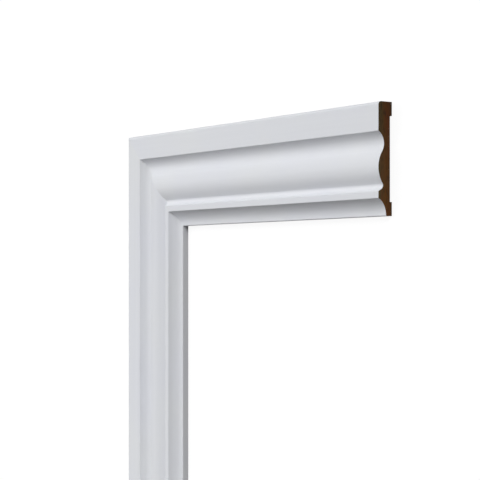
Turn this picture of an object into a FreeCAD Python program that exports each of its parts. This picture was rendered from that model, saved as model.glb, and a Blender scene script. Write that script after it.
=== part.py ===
import FreeCAD, Part
import math
import os

import Sketcher
from FreeCAD import Placement, Rotation, Vector

# A mitred corner of architrave: an upright leg and a head, two lengths of one moulding.
# The corner lies on its back. +X runs along the head, +Y up the leg, +Z out of the wall.
# The origin is the outer corner of the mitre, on the plane of the wall.

# Driving dimensions in millimetres and degrees
SIZES = {
    "face_width": 95,  # outer edge to inner edge
    "thickness": 14.5,  # wall to the flat band
    "leg_length": 2100,  # along the leg's outer edge
    "head_length": 408,  # along the head's outer edge
    "corner_angle": 90,  # between leg and head
    "arris_radius": 3,  # front of the outer edge
    "cove_radius": 11.7,
    "cove_depth": 6,  # below the flat band
    "torus_radius": 23,  # its crest is level with the flat band
    "quirk_radius": 3.5,  # hollow between torus and bead
    "quirk_depth": 4.9,
    "flank_angle": 60,  # slope of the bead's outer side
    "bead_width": 5.8,
    "edge_cove_radius": 15,
    "lip_thickness": 6.4,  # left at the inner edge
    "lip_width": 1.3,  # flat beside the inner edge
    "eased_radius": 0.6,  # crisp corners of the face
    "foot_width": 11.7,  # each side of the relieved back
    "relief_depth": 2.1,
    "saw_overrun": 5,  # mitre cut past both edges
}


def make_sheet(doc):
    sheet = doc.addObject("Spreadsheet::Sheet", "Sizes")
    for row, (name, value) in enumerate(SIZES.items(), start=1):
        sheet.set(f"A{row}", name)
        sheet.set(f"B{row}", str(value))
        sheet.setAlias(f"B{row}", name)
    return sheet


def attach(sketch, body, role):
    plane = next(f for f in body.Origin.OriginFeatures if f.Role == role)
    sketch.AttachmentSupport = [(plane, "")]
    sketch.MapMode = "FlatFace"


def leg_of(hypotenuse, other_leg):
    return math.sqrt(hypotenuse**2 - other_leg**2)


def centres_of(size):
    """Arc centres and corners of the face, as (distance from the outer edge, height)."""
    top = size["thickness"]
    flank = math.radians(size["flank_angle"])

    radius = size["edge_cove_radius"]
    edge_cove = (size["face_width"] - size["lip_width"], size["lip_thickness"] + radius)
    bead_inner = edge_cove[0] - leg_of(radius, edge_cove[1] - top)
    bead_outer = bead_inner - size["bead_width"]

    radius = size["quirk_radius"]
    below = size["quirk_depth"] - radius
    quirk = (bead_outer - (radius + below * math.cos(flank)) / math.sin(flank), top - below)

    reach = size["torus_radius"] + radius
    torus = (quirk[0] - leg_of(reach, size["torus_radius"] - below), top - size["torus_radius"])

    radius = size["cove_radius"]
    reach = size["torus_radius"] + radius
    cove = (torus[0] - leg_of(reach, reach - size["cove_depth"]), top - size["cove_depth"] + radius)
    band_end = cove[0] - leg_of(radius, radius - size["cove_depth"])
    return {
        "band_end": (band_end, top),
        "cove": cove,
        "torus": torus,
        "quirk": quirk,
        "bead_outer": (bead_outer, top),
        "bead_inner": (bead_inner, top),
        "edge_cove": edge_cove,
    }


class Outline:
    """A closed outline in a sketch. Across is measured from the outer edge, towards -x."""

    def __init__(self, sketch):
        self.sketch = sketch
        self.edges = {}

    def point(self, spot):
        return Vector(-spot[0], spot[1], 0)

    def line(self, name, start, end):
        edge = Part.LineSegment(self.point(start), self.point(end))
        self.edges[name] = self.sketch.addGeometry(edge)

    def arc(self, name, centre, radius, first, last):
        """An arc from the angle first to the angle last, in degrees, anticlockwise."""
        circle = Part.Circle(self.point(centre), Vector(0, 0, 1), radius)
        edge = Part.ArcOfCircle(circle, math.radians(first), math.radians(last))
        self.edges[name] = self.sketch.addGeometry(edge)

    def rule(self, kind, *places):
        """Places are edge names, each followed by the number of its point where one is meant."""
        ids = [self.edges.get(place, place) for place in places]
        return self.sketch.addConstraint(Sketcher.Constraint(kind, *ids))

    def size(self, kind, *places, value, formula):
        number = self.rule(kind, *places, value)
        self.sketch.setExpression(f"Constraints[{number}]", formula)


def heading(start, end):
    """Angle in the sketch from one spot to another, in degrees."""
    return math.degrees(math.atan2(end[1] - start[1], start[0] - end[0]))


START, END, CENTRE = 1, 2, 3
ROOT = (-1, 1)  # the sketch's own origin point
X_AXIS = -1


def draw_section(body):
    size = SIZES
    top = size["thickness"]
    width = size["face_width"]
    foot = size["foot_width"]
    relief = size["relief_depth"]
    lip = size["lip_thickness"]
    spot = centres_of(size)
    flank = size["flank_angle"]

    sketch = body.newObject("Sketcher::SketchObject", body.Name + "Section")
    attach(sketch, body, "YZ_Plane")
    face = Outline(sketch)

    # Outer edge and flat band
    face.line("outer_edge", (0, 0), (0, top))
    face.line("band", (0, top), spot["band_end"])

    # Cove, torus and quirk, each tangent to the next
    cove_to_torus = heading(spot["cove"], spot["torus"])
    torus_to_quirk = heading(spot["torus"], spot["quirk"])
    cove_start = heading(spot["cove"], spot["band_end"])
    face.arc("cove", spot["cove"], size["cove_radius"], cove_to_torus, cove_start)
    face.arc("torus", spot["torus"], size["torus_radius"], cove_to_torus + 180, torus_to_quirk)
    quirk_end = -90 - flank
    face.arc("quirk", spot["quirk"], size["quirk_radius"], quirk_end, torus_to_quirk - 180)

    # Bead between the quirk and the edge cove
    turn = math.radians(flank)
    quirk_side = (
        spot["quirk"][0] + size["quirk_radius"] * math.sin(turn),
        spot["quirk"][1] - size["quirk_radius"] * math.cos(turn),
    )
    face.line("flank", quirk_side, spot["bead_outer"])
    face.line("bead", spot["bead_outer"], spot["bead_inner"])
    edge_start = heading(spot["edge_cove"], spot["bead_inner"])
    face.arc("edge_cove", spot["edge_cove"], size["edge_cove_radius"], -90, edge_start)

    # Lip, inner edge and relieved back
    face.line("lip", (spot["edge_cove"][0], lip), (width, lip))
    face.line("inner_edge", (width, lip), (width, 0))
    face.line("inner_foot", (width, 0), (width - foot, 0))
    face.line("inner_step", (width - foot, 0), (width - foot, relief))
    face.line("relief", (width - foot, relief), (foot, relief))
    face.line("outer_step", (foot, relief), (foot, 0))
    face.line("outer_foot", (foot, 0), (0, 0))

    # Corners and smooth joints
    face.rule("Coincident", "outer_edge", START, *ROOT)
    face.rule("Coincident", "outer_edge", END, "band", START)
    face.rule("Coincident", "band", END, "cove", END)
    face.rule("Tangent", "cove", START, "torus", START)
    face.rule("Tangent", "torus", END, "quirk", END)
    face.rule("Tangent", "quirk", START, "flank", START)
    face.rule("Coincident", "flank", END, "bead", START)
    face.rule("Coincident", "bead", END, "edge_cove", END)
    face.rule("Tangent", "edge_cove", START, "lip", START)
    straight = ("lip", "inner_edge", "inner_foot", "inner_step", "relief", "outer_step", "outer_foot")
    for before, after in zip(straight, straight[1:]):
        face.rule("Coincident", before, END, after, START)
    face.rule("Coincident", "outer_foot", END, *ROOT)

    # Directions
    for name in ("band", "bead", "lip", "inner_foot", "relief", "outer_foot"):
        face.rule("Horizontal", name)
    for name in ("outer_edge", "inner_edge", "inner_step", "outer_step"):
        face.rule("Vertical", name)
    face.rule("PointOnObject", "inner_foot", START, X_AXIS)
    face.rule("Horizontal", "band", START, "bead", START)

    # Sizes across the face, from right to left in the sketch
    face.size("DistanceX", "inner_edge", END, *ROOT, value=width, formula="Sizes.face_width")
    face.size("DistanceX", "lip", END, "lip", START,
              value=size["lip_width"], formula="Sizes.lip_width")
    face.size("DistanceX", "bead", END, "bead", START,
              value=size["bead_width"], formula="Sizes.bead_width")
    for name in ("inner_foot", "outer_foot"):
        face.size("DistanceX", name, START, name, END, value=foot, formula="Sizes.foot_width")

    # Heights above the wall
    face.size("DistanceY", *ROOT, "outer_edge", END, value=top, formula="Sizes.thickness")
    face.size("DistanceY", *ROOT, "lip", END, value=lip, formula="Sizes.lip_thickness")
    face.size("DistanceY", *ROOT, "relief", END, value=relief, formula="Sizes.relief_depth")
    face.size("DistanceY", *ROOT, "cove", CENTRE, value=spot["cove"][1],
              formula="Sizes.thickness - Sizes.cove_depth + Sizes.cove_radius")
    face.size("DistanceY", "torus", CENTRE, "outer_edge", END,
              value=size["torus_radius"], formula="Sizes.torus_radius")
    face.size("DistanceY", *ROOT, "quirk", CENTRE, value=spot["quirk"][1],
              formula="Sizes.thickness - Sizes.quirk_depth + Sizes.quirk_radius")

    # Radii and the slope of the bead's outer side
    for name in ("cove", "torus", "quirk", "edge_cove"):
        radius = f"{name}_radius"
        face.size("Radius", name, value=size[radius], formula=f"Sizes.{radius}")
    face.size("Angle", "flank", value=math.radians(180 - flank),
              formula="180 - Sizes.flank_angle")
    return sketch


def edges_at(shape, corners):
    """Names of the edges that run along the length through these (y, z) corners."""
    names = []
    for number, edge in enumerate(shape.Edges, start=1):
        ends = [vertex.Point for vertex in edge.Vertexes]
        for y, z in corners:
            if all(abs(p.y - y) < 1e-4 and abs(p.z - z) < 1e-4 for p in ends):
                names.append(f"Edge{number}")
    return names


def draw_mitre(body, hand):
    """Waste beyond the mitre. Hand is 1 where the length runs to +x, and -1 where to -x."""
    over = SIZES["saw_overrun"]
    tangent = math.tan(math.radians(SIZES["corner_angle"] / 2))
    low = -(SIZES["face_width"] + over)
    base = -low / tangent + over
    rise = over * tangent - low

    sketch = body.newObject("Sketcher::SketchObject", body.Name + "Waste")
    attach(sketch, body, "XY_Plane")
    heel = Vector(-hand * over, low, 0)
    toe = heel + Vector(hand * base, 0, 0)
    tip = heel + Vector(0, rise, 0)
    bottom, cut, side = sketch.addGeometry([
        Part.LineSegment(heel, toe),
        Part.LineSegment(toe, tip),
        Part.LineSegment(tip, heel),
    ])
    for before, after in ((bottom, cut), (cut, side), (side, bottom)):
        sketch.addConstraint(Sketcher.Constraint("Coincident", before, END, after, START))
    sketch.addConstraint(Sketcher.Constraint("Horizontal", bottom))
    sketch.addConstraint(Sketcher.Constraint("Vertical", side))

    def size(kind, first, second, value, formula):
        number = sketch.addConstraint(Sketcher.Constraint(kind, *first, *second, value))
        sketch.setExpression(f"Constraints[{number}]", formula)

    def along(first, second):
        return (first, second) if hand > 0 else (second, first)

    size("DistanceX", *along((bottom, START), ROOT), over, "Sizes.saw_overrun")
    size("DistanceY", (bottom, START), ROOT, -low, "Sizes.face_width + Sizes.saw_overrun")
    size("DistanceX", *along((bottom, START), (bottom, END)), base,
         "(Sizes.face_width + Sizes.saw_overrun) / tan(Sizes.corner_angle * 0.5 deg)"
         " + Sizes.saw_overrun")
    size("DistanceY", (side, END), (side, START), rise,
         "Sizes.face_width + Sizes.saw_overrun"
         " + Sizes.saw_overrun * tan(Sizes.corner_angle * 0.5 deg)")
    return sketch


def cut_length(doc, label, length, hand):
    """A length of the moulding, sawn square at its far end and mitred at x = 0."""
    body = doc.addObject("PartDesign::Body", label)
    body.Label = label

    section = draw_section(body)
    stock = body.newObject("PartDesign::Pad", label + "Stock")
    stock.Profile = section
    stock.setExpression("Length", f"Sizes.{length}")
    stock.Reversed = hand < 0
    section.Visibility = False
    doc.recompute()

    arris = body.newObject("PartDesign::Fillet", label + "Arris")
    outer_front = [(0, SIZES["thickness"])]
    arris.Base = (stock, edges_at(stock.Shape, outer_front))
    arris.setExpression("Radius", "Sizes.arris_radius")
    doc.recompute()

    spot = centres_of(SIZES)
    inner_front = (SIZES["face_width"], SIZES["lip_thickness"])
    crisp = [spot["band_end"], spot["bead_outer"], spot["bead_inner"], inner_front]
    eased = body.newObject("PartDesign::Fillet", label + "Eased")
    eased.Base = (arris, edges_at(arris.Shape, [(-across, z) for across, z in crisp]))
    eased.setExpression("Radius", "Sizes.eased_radius")
    doc.recompute()

    waste = draw_mitre(body, hand)
    mitre = body.newObject("PartDesign::Pocket", label + "Mitre")
    mitre.Profile = waste
    mitre.Type = "ThroughAll"
    mitre.Reversed = True
    waste.Visibility = False
    doc.recompute()

    # A plane cut takes off the section's area times the cut's run at its centroid
    square_cut = eased.Shape.Solids[0]
    section_area = square_cut.Volume / SIZES[length]
    run = -square_cut.CenterOfMass.y / math.tan(math.radians(SIZES["corner_angle"] / 2))
    expected = section_area * (SIZES[length] - run)
    if abs(mitre.Shape.Volume / expected - 1) > 1e-4:
        raise RuntimeError(f"{label}: the mitre left {mitre.Shape.Volume}, not {expected}")
    return body


def check(doc, bodies):
    for item in doc.Objects:
        if "Invalid" in item.State or "Error" in item.State:
            raise RuntimeError(f"{item.Label} failed: {item.State}")
        if item.isDerivedFrom("Sketcher::SketchObject"):
            if item.solve() != 0 or not item.FullyConstrained:
                raise RuntimeError(f"{item.Label} isn't a solved, fully constrained sketch")
    for body in bodies:
        if body.Shape.isNull() or not body.Shape.isValid() or len(body.Shape.Solids) != 1:
            raise RuntimeError(f"{body.Label} isn't one valid solid")


def main():
    doc = FreeCAD.newDocument("architrave_corner")
    make_sheet(doc)
    doc.recompute()

    head = cut_length(doc, "architrave_head", "head_length", hand=1)
    leg = cut_length(doc, "architrave_leg", "leg_length", hand=-1)

    # The leg turns about the outer corner until the two mitres meet
    turn = 180 - SIZES["corner_angle"]
    leg.Placement = Placement(Vector(0, 0, 0), Rotation(Vector(0, 0, 1), turn))
    leg.setExpression("Placement.Rotation.Angle", "180 - Sizes.corner_angle")
    doc.recompute()

    bodies = [head, leg]
    check(doc, bodies)
    os.makedirs("parts", exist_ok=True)
    for body in bodies:
        body.Shape.exportStep(f"parts/{body.Label}.step")
        box = body.Shape.BoundBox
        print(body.Label, round(body.Shape.Volume), "mm3", box)


main()
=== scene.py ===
import math

import bmesh
import bpy
from mathutils import Matrix, Vector


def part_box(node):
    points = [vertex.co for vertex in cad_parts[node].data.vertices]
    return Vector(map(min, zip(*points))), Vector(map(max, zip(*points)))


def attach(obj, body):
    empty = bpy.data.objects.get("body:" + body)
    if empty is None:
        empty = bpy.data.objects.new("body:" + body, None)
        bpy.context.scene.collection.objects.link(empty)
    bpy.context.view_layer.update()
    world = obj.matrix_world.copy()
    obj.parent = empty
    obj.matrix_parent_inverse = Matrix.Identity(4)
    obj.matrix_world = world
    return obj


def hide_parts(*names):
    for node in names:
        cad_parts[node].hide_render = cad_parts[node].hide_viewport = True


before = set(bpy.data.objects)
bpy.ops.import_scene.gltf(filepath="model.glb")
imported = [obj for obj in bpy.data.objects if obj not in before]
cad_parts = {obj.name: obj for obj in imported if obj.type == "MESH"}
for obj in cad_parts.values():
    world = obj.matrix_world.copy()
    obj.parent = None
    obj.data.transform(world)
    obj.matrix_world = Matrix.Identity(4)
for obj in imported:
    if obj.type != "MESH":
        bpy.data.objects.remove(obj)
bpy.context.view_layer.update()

# Everything is in metres, and the corner lies on its back on the floor as in the CAD frame
MM = 0.001
HEAD_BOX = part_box("architrave_head")
LEG_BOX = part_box("architrave_leg")

# Sizes of the moulding, with the larger ones read from the frame
FACE_WIDTH = -HEAD_BOX[0].y
THICKNESS = HEAD_BOX[1].z
HEAD_LENGTH = HEAD_BOX[1].x
LEG_LENGTH = -LEG_BOX[0].y
ARRIS_RADIUS = 3 * MM
COVE_RADIUS = 11.7 * MM
COVE_DEPTH = 6 * MM
TORUS_RADIUS = 23 * MM
QUIRK_RADIUS = 3.5 * MM
QUIRK_DEPTH = 4.9 * MM
FLANK_ANGLE = 60
BEAD_WIDTH = 5.8 * MM
EDGE_COVE_RADIUS = 15 * MM
LIP_THICKNESS = 6.4 * MM
LIP_WIDTH = 1.3 * MM
EASED_RADIUS = 0.6 * MM
FOOT_WIDTH = 11.7 * MM
RELIEF_DEPTH = 2.1 * MM
PAINT_FILM = 0.08 * MM  # seen as a rim where the saw has cut through it

# How finely the meshes are divided, with angles in degrees
ARC_STEP = 2.5
ARRIS_STEP = 5
QUIRK_STEP = 6
EASED_STEP = 15
STATION_GAP = 40 * MM
STRAIGHT_RUN = 1.5 * MM  # a step of the outline that is longer isn't part of an arc
SHADING_MARGIN = 0.3 * MM  # how far the shading of an arc reaches into a straight run
SHARP_ANGLE = 35  # an edge that turns by more is shaded as a sharp one

# Places in each mesh's list of materials
PAINT = 0
BOARD = 1

STOCK = "stock"  # attribute with each point's place in the length of stock
LEG_STOCK_START = 1.3  # where the leg was sawn from the same moulding

# A noise texture seldom leaves this span
NOISE_LOW = 0.3
NOISE_HIGH = 0.7

FULL_TURN = 360
FLOOR_REACH = 15.0  # from the corner to each edge, past what any view shows


def leg_of(hypotenuse, other_leg):
    return math.sqrt(hypotenuse**2 - other_leg**2)


def heading(start, end):
    return math.degrees(math.atan2(end[1] - start[1], end[0] - start[0]))


def arc(centre, radius, first, last, step=ARC_STEP):
    """Points on an arc from the angle first to the angle last, in degrees."""
    count = max(2, math.ceil(abs(last - first) / step))
    points = []
    for number in range(count + 1):
        turn = math.radians(first + (last - first) * number / count)
        points.append((centre[0] + radius * math.cos(turn), centre[1] + radius * math.sin(turn)))
    return points


def with_margins(points):
    """The outline with a point near both ends of each straight run, so that the run looks flat."""
    spaced = [points[0]]
    for start, end in zip(points, points[1:]):
        run = Vector(end) - Vector(start)
        if run.length > STRAIGHT_RUN:
            margin = run.normalized() * SHADING_MARGIN
            spaced.append(tuple(Vector(start) + margin))
            spaced.append(tuple(Vector(end) - margin))
        spaced.append(end)
    return spaced


def painted_outline():
    """The outer edge, face and inner edge, as points (distance from the outer edge, height)."""
    top = THICKNESS
    eased = EASED_RADIUS
    flank = math.radians(FLANK_ANGLE)

    # Centres of the arcs, worked out from the inner edge outwards
    edge_cove = (FACE_WIDTH - LIP_WIDTH, LIP_THICKNESS + EDGE_COVE_RADIUS)
    bead_inner = edge_cove[0] - leg_of(EDGE_COVE_RADIUS, edge_cove[1] - top)
    bead_outer = bead_inner - BEAD_WIDTH
    below = QUIRK_DEPTH - QUIRK_RADIUS
    slope_run = (QUIRK_RADIUS + below * math.cos(flank)) / math.sin(flank)
    quirk = (bead_outer - slope_run, top - below)
    torus_reach = leg_of(TORUS_RADIUS + QUIRK_RADIUS, TORUS_RADIUS - below)
    torus = (quirk[0] - torus_reach, top - TORUS_RADIUS)
    reach = COVE_RADIUS + TORUS_RADIUS
    cove = (torus[0] - leg_of(reach, reach - COVE_DEPTH), top - COVE_DEPTH + COVE_RADIUS)

    # Centres of the eased corners, all at one height but for the lip's
    low = top - eased
    band_end = (cove[0] - leg_of(COVE_RADIUS + eased, cove[1] - low), low)
    bead_start = (bead_outer + eased * math.tan(flank / 2), low)
    bead_end = (edge_cove[0] - leg_of(EDGE_COVE_RADIUS + eased, edge_cove[1] - low), low)
    lip_corner = (FACE_WIDTH - eased, LIP_THICKNESS - eased)

    to_cove = heading(band_end, cove)
    to_edge_cove = heading(bead_end, edge_cove)
    quirk_start = heading(quirk, torus) + FULL_TURN
    quirk_end = FULL_TURN - (90 - FLANK_ANGLE)
    points = [(0.0, 0.0)]
    points += arc((ARRIS_RADIUS, top - ARRIS_RADIUS), ARRIS_RADIUS, 180, 90, ARRIS_STEP)
    points += arc(band_end, eased, 90, to_cove, EASED_STEP)
    points += arc(cove, COVE_RADIUS, to_cove + 180, heading(cove, torus) + FULL_TURN)[1:]
    points += arc(torus, TORUS_RADIUS, heading(torus, cove), heading(torus, quirk))[1:]
    points += arc(quirk, QUIRK_RADIUS, quirk_start, quirk_end, QUIRK_STEP)[1:]
    points += arc(bead_start, eased, 90 + FLANK_ANGLE, 90, EASED_STEP)
    points += arc(bead_end, eased, 90, to_edge_cove, EASED_STEP)
    points += arc(edge_cove, EDGE_COVE_RADIUS, to_edge_cove + 180, 270)[1:]
    points += arc(lip_corner, eased, 90, 0, EASED_STEP)
    points.append((FACE_WIDTH, 0.0))
    return with_margins(points)


def back_outline():
    """The raw back between the two edges, from the inner edge to the outer."""
    inner = FACE_WIDTH - FOOT_WIDTH
    return [(inner, 0.0), (inner, RELIEF_DEPTH), (FOOT_WIDTH, RELIEF_DEPTH), (FOOT_WIDTH, 0.0)]


def under_film(points):
    """The board's own outline under the paint, which thins out to nothing at the back."""
    inner = []
    for number, (across, height) in enumerate(points):
        before = Vector(points[max(number - 1, 0)])
        after = Vector(points[min(number + 1, len(points) - 1)])
        run = (after - before).normalized()
        depth = PAINT_FILM if 0 < number < len(points) - 1 else 0.0
        inner.append((across + run.y * depth, height - run.x * depth))
    return inner


def stations(length):
    """Distances along the length for its rings of points after the mitre's own ring."""
    start = FACE_WIDTH + STATION_GAP
    count = math.ceil((length - start) / STATION_GAP)
    return [start + (length - start) * number / count for number in range(count + 1)]


def add_sides(mesh, rings, painted_count):
    """The faces between the rings, painted as far as the painted outline goes."""
    size = len(rings[0])
    for near, far in zip(rings, rings[1:]):
        for number in range(size):
            after = (number + 1) % size
            face = mesh.faces.new((near[number], near[after], far[after], far[number]))
            face.smooth = True
            face.material_index = PAINT if number < painted_count - 1 else BOARD


def close_end(mesh, ring, board, painted_count):
    """A sawn end, with a thin rim of paint round the board."""
    core = [ring[0]] + board + ring[painted_count - 1:]
    for number in range(painted_count - 1):
        corners = [ring[number], ring[number + 1], core[number + 1], core[number]]
        # At the back the ring and the core share a point, which is kept once
        mesh.faces.new(list(dict.fromkeys(corners))).material_index = PAINT
    mesh.faces.new(core).material_index = BOARD


def link_object(name, mesh):
    """An object of the scene from a finished bmesh."""
    data = bpy.data.meshes.new(name)
    mesh.to_mesh(data)
    mesh.free()
    linked = bpy.data.objects.new(name, data)
    bpy.context.collection.objects.link(linked)
    return linked


def build_length(name, length, place, stock_start):
    """One length of moulding. Place turns (along, across, height) into a point of the frame."""
    painted = painted_outline()
    outline = painted + back_outline()
    board = under_film(painted)[1:-1]
    mesh = bmesh.new()
    stock = mesh.verts.layers.float_vector.new(STOCK)

    def add_points(spots, square_at=None):
        """Points of an outline, on the mitre or on a square cut at that distance along."""
        points = []
        for across, height in spots:
            along = across if square_at is None else square_at
            point = mesh.verts.new(place(along, across, height))
            point[stock] = Vector((along + stock_start, across, height))
            points.append(point)
        return points

    rings = [add_points(outline)]
    rings += [add_points(outline, along) for along in stations(length)]
    add_sides(mesh, rings, len(painted))
    close_end(mesh, rings[0], add_points(board), len(painted))
    close_end(mesh, rings[-1], add_points(board, length), len(painted))
    bmesh.ops.recalc_face_normals(mesh, faces=mesh.faces)

    piece = link_object(name, mesh)
    piece.data.set_sharp_from_angle(angle=math.radians(SHARP_ANGLE))
    return piece


class Nodes:
    """A node tree with short calls to add and link its nodes."""

    def __init__(self, owner):
        owner.use_nodes = True
        self.tree = owner.node_tree
        self.tree.nodes.clear()

    def add(self, kind, *links, **values):
        """A node. Links are (input, output socket) pairs, and values are its own settings."""
        node = self.tree.nodes.new(kind)
        for name, value in values.items():
            setattr(node, name, value)
        for socket, source in links:
            self.feed(node, socket, source)
        return node

    def feed(self, node, socket, source):
        """Link an input to an output socket, or set it to a value."""
        if isinstance(source, bpy.types.NodeSocket):
            self.tree.links.new(source, node.inputs[socket])
        else:
            node.inputs[socket].default_value = source

    def place_in_stock(self):
        return self.add("ShaderNodeAttribute", attribute_name=STOCK).outputs["Vector"]

    def noise(self, source, scale, detail=2.0, roughness=0.5):
        """Clumps, so many to the metre."""
        node = self.add("ShaderNodeTexNoise", ("Vector", source), ("Scale", scale),
                        ("Detail", detail), ("Roughness", roughness))
        return node.outputs["Fac"]

    def stretched_noise(self, source, scales, detail):
        """Clumps, so many to the metre along the stock, across it and through it."""
        node = self.add("ShaderNodeMapping", ("Vector", source), ("Scale", scales))
        return self.noise(node.outputs["Vector"], 1.0, detail)

    def ranged(self, source, low, high, first=NOISE_LOW, last=NOISE_HIGH):
        """Low where the source is at first, and high where it is at last."""
        node = self.add("ShaderNodeMapRange", ("Value", source), ("From Min", first),
                        ("From Max", last), ("To Min", low), ("To Max", high))
        return node.outputs["Result"]

    def blend(self, share, first, second, how="MIX"):
        node = self.add("ShaderNodeMix", data_type="RGBA", blend_type=how)
        factor, first_colour, second_colour, result_colour = 0, 6, 7, 2
        self.feed(node, factor, share)
        self.feed(node, first_colour, first)
        self.feed(node, second_colour, second)
        return node.outputs[result_colour]

    def shaded(self, colour, shade):
        """The colour times a grey share."""
        grey = self.add("ShaderNodeCombineColor", ("Red", shade), ("Green", shade), ("Blue", shade))
        return self.blend(1.0, colour, grey.outputs["Color"], how="MULTIPLY")

    def larger(self, first, second):
        node = self.add("ShaderNodeMath", (0, first), (1, second), operation="MAXIMUM")
        return node.outputs["Value"]

    def bump(self, height, distance, strength, normal=None):
        node = self.add("ShaderNodeBump", ("Height", height), ("Distance", distance),
                        ("Strength", strength))
        if normal:
            self.feed(node, "Normal", normal)
        return node.outputs["Normal"]


def linear(red, green, blue):
    """An opaque colour from its screen values of 0 to 255."""
    colour = []
    for value in (red, green, blue):
        share = value / 255
        colour.append(share / 12.92 if share <= 0.04045 else ((share + 0.055) / 1.055) ** 2.4)
    return (*colour, 1.0)


def paint_material():
    """Satin white, laid on by spray along the length, with a fine orange peel."""
    material = bpy.data.materials.new("satin_white_paint")
    nodes = Nodes(material)
    place = nodes.place_in_stock()
    clouds = nodes.noise(place, 14.0, detail=3.0)
    streaks = nodes.stretched_noise(place, (6.0, 260.0, 260.0), detail=4.0)
    peel = nodes.noise(place, 620.0, detail=2.0, roughness=0.45)

    cool = linear(224, 226, 232)
    warm = linear(226, 228, 231)
    colour = nodes.blend(nodes.ranged(clouds, 0.0, 1.0), cool, warm)
    colour = nodes.shaded(colour, nodes.ranged(streaks, 0.98, 1.0))

    normal = nodes.bump(peel, distance=0.05 * MM, strength=0.35)
    normal = nodes.bump(streaks, distance=0.05 * MM, strength=0.15, normal=normal)
    shader = nodes.add("ShaderNodeBsdfPrincipled", ("Base Color", colour), ("Normal", normal),
                       ("Roughness", nodes.ranged(peel, 0.5, 0.58)),
                       ("Specular IOR Level", 0.3))
    nodes.add("ShaderNodeOutputMaterial", ("Surface", shader.outputs["BSDF"]))
    return material


def board_material():
    """Dark brown board, pressed in layers that run with its faces, sawn and left raw."""
    material = bpy.data.materials.new("raw_brown_board")
    nodes = Nodes(material)
    place = nodes.place_in_stock()
    parts = nodes.add("ShaderNodeSeparateXYZ", ("Vector", place)).outputs
    across, height = parts["Y"], parts["Z"]
    layers = nodes.stretched_noise(place, (12.0, 26.0, 420.0), detail=4.0)
    patches = nodes.stretched_noise(place, (60.0, 60.0, 130.0), detail=3.0)
    flecks = nodes.stretched_noise(place, (90.0, 150.0, 900.0), detail=3.0)
    fibres = nodes.noise(place, 1500.0, detail=3.0, roughness=0.6)

    # Olive near the face, orange in the middle and darker at the back
    front = linear(80, 72, 46)
    middle = linear(94, 60, 24)
    rear = linear(74, 50, 30)
    middle_height = 0.45 * THICKNESS
    colour = nodes.blend(nodes.ranged(height, 0.0, 1.0, 0.0, middle_height), rear, middle)
    colour = nodes.blend(nodes.ranged(height, 0.0, 1.0, middle_height, THICKNESS), colour, front)

    # Each noise shows only where it is strong
    rust = linear(102, 52, 28)
    tan = linear(100, 70, 42)
    dark = linear(48, 34, 24)
    colour = nodes.blend(nodes.ranged(layers, 0.0, 0.7, first=0.48), colour, rust)
    colour = nodes.blend(nodes.ranged(patches, 0.0, 0.7, first=0.5), colour, tan)
    colour = nodes.blend(nodes.ranged(flecks, 0.0, 0.8, first=0.54), colour, dark)

    # Darker at the outer edge than at the inner
    colour = nodes.shaded(colour, nodes.ranged(across, 0.84, 1.3, 0.0, FACE_WIDTH))

    normal = nodes.bump(fibres, distance=0.15 * MM, strength=0.5)
    shader = nodes.add("ShaderNodeBsdfPrincipled", ("Base Color", colour), ("Normal", normal),
                       ("Roughness", nodes.ranged(fibres, 0.8, 0.95)),
                       ("Specular IOR Level", 0.2))
    nodes.add("ShaderNodeOutputMaterial", ("Surface", shader.outputs["BSDF"]))
    return material


def seen_directly(nodes):
    """1 for what the camera sees, also in a reflection or through glass, and otherwise 0."""
    rays = nodes.add("ShaderNodeLightPath").outputs
    either = nodes.larger(rays["Is Camera Ray"], rays["Is Glossy Ray"])
    return nodes.larger(either, rays["Is Transmission Ray"])


def floor_material():
    """Nearly white by its own glow where it is seen, but dim and a little warm to the part."""
    material = bpy.data.materials.new("white_floor")
    nodes = Nodes(material)
    bounce = nodes.add("ShaderNodeBsdfDiffuse", ("Color", (0.13, 0.115, 0.1, 1.0)))
    shadowed = nodes.add("ShaderNodeBsdfDiffuse", ("Color", (0.15, 0.15, 0.15, 1.0)))
    glow = nodes.add("ShaderNodeEmission", ("Color", (0.9, 0.9, 0.9, 1.0)), ("Strength", 1.0))
    seen = nodes.add("ShaderNodeAddShader", (0, shadowed.outputs[0]), (1, glow.outputs[0]))
    choice = nodes.add("ShaderNodeMixShader", (0, seen_directly(nodes)), (1, bounce.outputs[0]),
                       (2, seen.outputs[0]))
    nodes.add("ShaderNodeOutputMaterial", ("Surface", choice.outputs[0]))
    return material


def build_floor():
    """A white floor, on which the corner's soft shadow shows faintly."""
    mesh = bmesh.new()
    reach = FLOOR_REACH
    corners = [(-reach, -reach), (reach, -reach), (reach, reach), (-reach, reach)]
    mesh.faces.new([mesh.verts.new((x, y, 0.0)) for x, y in corners])
    floor = link_object("floor", mesh)
    floor.data.materials.append(floor_material())


def light_world(ambient):
    world = bpy.data.worlds.new("studio")
    bpy.context.scene.world = world
    nodes = Nodes(world)
    around = nodes.add("ShaderNodeBackground", ("Color", (1.0, 1.0, 1.0, 1.0)),
                       ("Strength", ambient))
    white = nodes.add("ShaderNodeBackground", ("Color", (1.0, 1.0, 1.0, 1.0)), ("Strength", 1.0))
    choice = nodes.add("ShaderNodeMixShader", (0, seen_directly(nodes)), (1, around.outputs[0]),
                       (2, white.outputs[0]))
    nodes.add("ShaderNodeOutputWorld", ("Surface", choice.outputs[0]))


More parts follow.
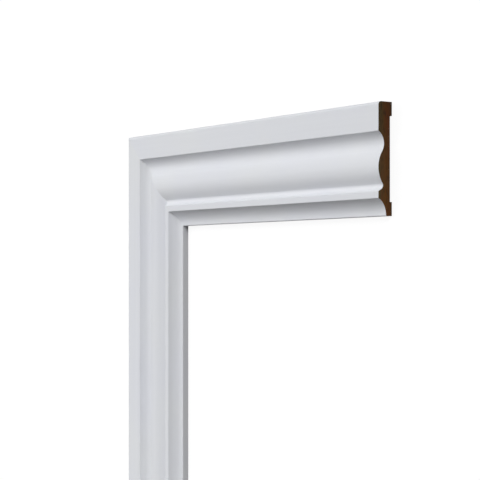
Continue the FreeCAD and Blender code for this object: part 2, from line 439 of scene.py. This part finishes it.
def add_sun(name, azimuth, elevation, strength, spread=35):
    """A soft distant light. Azimuth turns from +X towards +Y, and all angles are in degrees."""
    turn, rise = math.radians(azimuth), math.radians(elevation)
    level = math.cos(rise)
    towards = Vector((level * math.cos(turn), level * math.sin(turn), math.sin(rise)))

    data = bpy.data.lights.new(name, "SUN")
    data.energy = strength
    data.angle = math.radians(spread)
    sun = bpy.data.objects.new(name, data)
    sun.rotation_mode = "QUATERNION"
    sun.rotation_quaternion = towards.to_track_quat("Z", "Y")
    bpy.context.collection.objects.link(sun)


def place_camera():
    """The photograph's view: from the head's cut end, low over the face, upright in the frame."""
    standpoint = Vector((1.36344, -0.1429, 0.81515))
    swing = 0.9652  # radians away from square to the face
    focal_pixels = 1502
    image_pixels = 480
    centre_row = 273.69  # where the level sight line meets the picture, from its top

    forward = Vector((-math.sin(swing), 0, -math.cos(swing)))
    up = Vector((0, 1, 0))
    right = forward.cross(up)

    data = bpy.data.cameras.new("camera")
    data.sensor_width = 36
    data.lens = data.sensor_width * focal_pixels / image_pixels
    data.shift_y = centre_row / image_pixels - 0.5
    data.clip_start = 0.01
    camera = bpy.data.objects.new("camera", data)
    turn = Matrix((right, up, -forward)).transposed().to_4x4()
    camera.matrix_world = Matrix.Translation(standpoint) @ turn
    bpy.context.collection.objects.link(camera)
    bpy.context.scene.camera = camera


def head_place(along, across, height):
    return Vector((along, -across, height))


def leg_place(along, across, height):
    return Vector((across, -along, height))


paint = paint_material()
board = board_material()
for name, length, place, stock_start in (
    ("architrave_head", HEAD_LENGTH, head_place, 0.0),
    ("architrave_leg", LEG_LENGTH, leg_place, LEG_STOCK_START),
):
    piece = build_length(f"painted_{name}", length, place, stock_start)
    piece.data.materials.append(paint)
    piece.data.materials.append(board)
    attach(piece, "root")
    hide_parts(name)

place_camera()
build_floor()
light_world(ambient=0.122)
add_sun("right", azimuth=45, elevation=35, strength=1.84)
add_sun("upper", azimuth=135, elevation=50, strength=0.77)
add_sun("left", azimuth=180, elevation=38, strength=0.82)

bpy.context.scene.view_settings.view_transform = "Standard"
